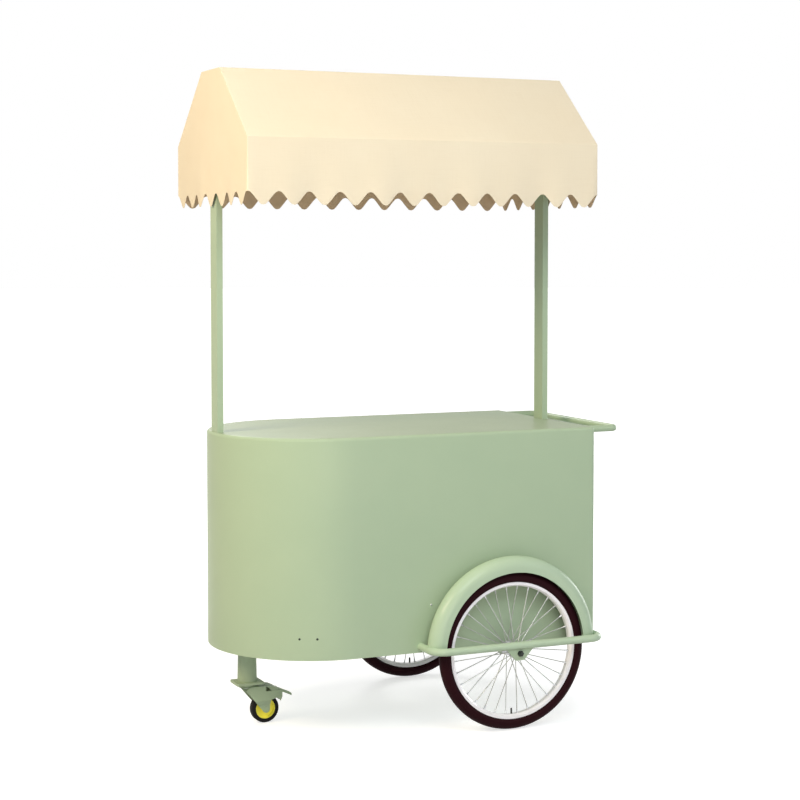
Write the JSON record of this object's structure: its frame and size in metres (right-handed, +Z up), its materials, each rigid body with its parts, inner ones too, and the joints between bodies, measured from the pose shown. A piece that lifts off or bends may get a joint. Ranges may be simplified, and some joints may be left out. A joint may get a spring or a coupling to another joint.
{
  "type": "snack cart",
  "caption": "Street snack cart: round-nosed sheet steel counter on spoked wheels and a front caster, with a push handle and a scalloped fabric canopy on posts.",
  "frame": {"origin": "on the ground, in the middle of the overall length and width", "axes": "+X towards the push handle, -Y towards the customer, +Z up"},
  "size_m": [1.32, 0.94, 2.097],
  "materials": {
    "sage_green_paint": "satin sage green paint",
    "cream_fabric": "smooth coated canvas",
    "brown_black_tyre": "matt rubber",
    "white_rim": "gloss white paint",
    "bright_steel": "bright plated steel",
    "dark_steel": "blacked steel",
    "black_rubber": "matt rubber",
    "yellow_plastic": "gloss moulded plastic",
    "black_plastic": "satin moulded plastic"
  },
  "bodies": {
    "cart": {"body_skin": "sage_green_paint", "rear_panel": "sage_green_paint", "counter_top": "sage_green_paint", "floor_panel": "sage_green_paint", "bottom_side_rails": "sage_green_paint", "bottom_cross_rails": "sage_green_paint", "bottom_nose_rail": "sage_green_paint", "top_side_rails": "sage_green_paint", "top_cross_rails": "sage_green_paint", "top_nose_rail": "sage_green_paint", "frame_uprights": "sage_green_paint", "caster_rails": "sage_green_paint", "post_spigots": "sage_green_paint", "front_post": "sage_green_paint", "rear_post": "sage_green_paint", "eave_rails": "sage_green_paint", "ridge_rails": "sage_green_paint", "front_gable_bars": "sage_green_paint", "rear_gable_bars": "sage_green_paint", "canopy_cover": "cream_fabric", "push_handle": "sage_green_paint", "caster_leg": "sage_green_paint", "caster_plate": "sage_green_paint", "caster_kingpin": "bright_steel", "body_hinge_leaves": "sage_green_paint", "hinge_pins": "bright_steel", "axle_cones": "bright_steel", "axle_nuts": "dark_steel", "outer_axle_plates": "sage_green_paint", "inner_axle_brackets": "sage_green_paint", "left_axle": "dark_steel", "left_fender": "sage_green_paint", "left_guard_bar": "sage_green_paint", "right_axle": "dark_steel", "right_fender": "sage_green_paint", "right_guard_bar": "sage_green_paint"},
    "caster_fork": {"caster_fork": "sage_green_paint", "caster_axle": "bright_steel", "brake_pin": "bright_steel"},
    "caster_wheel": {"caster_tyre": "black_rubber", "caster_hub": "yellow_plastic"},
    "brake_pedal": {"brake_pedal": "sage_green_paint"},
    "front_door": {"front_door": "sage_green_paint", "front_door_hinge_leaves": "sage_green_paint", "front_door_knob": "black_plastic"},
    "rear_door": {"rear_door": "sage_green_paint", "rear_door_hinge_leaves": "sage_green_paint", "rear_door_knob": "black_plastic"},
    "left_wheel": {"left_hub": "bright_steel", "left_rim": "white_rim", "left_tyre": "brown_black_tyre", "left_spokes": "bright_steel", "left_wheel_bearings": "bright_steel", "left_valve": "black_rubber"},
    "right_wheel": {"right_hub": "bright_steel", "right_rim": "white_rim", "right_tyre": "brown_black_tyre", "right_spokes": "bright_steel", "right_wheel_bearings": "bright_steel", "right_valve": "black_rubber"}
  },
  "joints": [
    {"name": "left_wheel_spin", "type": "hinge", "parent": "cart", "child": "left_wheel", "pos_m": [0.207, -0.398, 0.254], "axis": [0, 1, 0], "continuous": true},
    {"name": "right_wheel_spin", "type": "hinge", "parent": "cart", "child": "right_wheel", "pos_m": [0.207, 0.398, 0.254], "axis": [0, 1, 0], "continuous": true},
    {"name": "caster_swivel", "type": "hinge", "parent": "cart", "child": "caster_fork", "pos_m": [-0.546, 0, 0.13], "axis": [0, 0, 1], "continuous": true},
    {"name": "caster_wheel_spin", "type": "hinge", "parent": "caster_fork", "child": "caster_wheel", "pos_m": [-0.488, 0, 0.046], "axis": [0, 1, 0], "continuous": true},
    {"name": "brake_pedal_press", "type": "hinge", "parent": "caster_fork", "child": "brake_pedal", "pos_m": [-0.45, 0, 0.0966], "axis": [0, 1, 0], "range_deg": [0, 12]},
    {"name": "front_door_hinge", "type": "hinge", "parent": "cart", "child": "front_door", "pos_m": [-0.25375, 0.349, 0.745], "axis": [0, 0, 1], "range_deg": [0, 110]},
    {"name": "rear_door_hinge", "type": "hinge", "parent": "cart", "child": "rear_door", "pos_m": [0.47875, 0.349, 0.745], "axis": [0, 0, -1], "range_deg": [0, 110]}
  ]
}
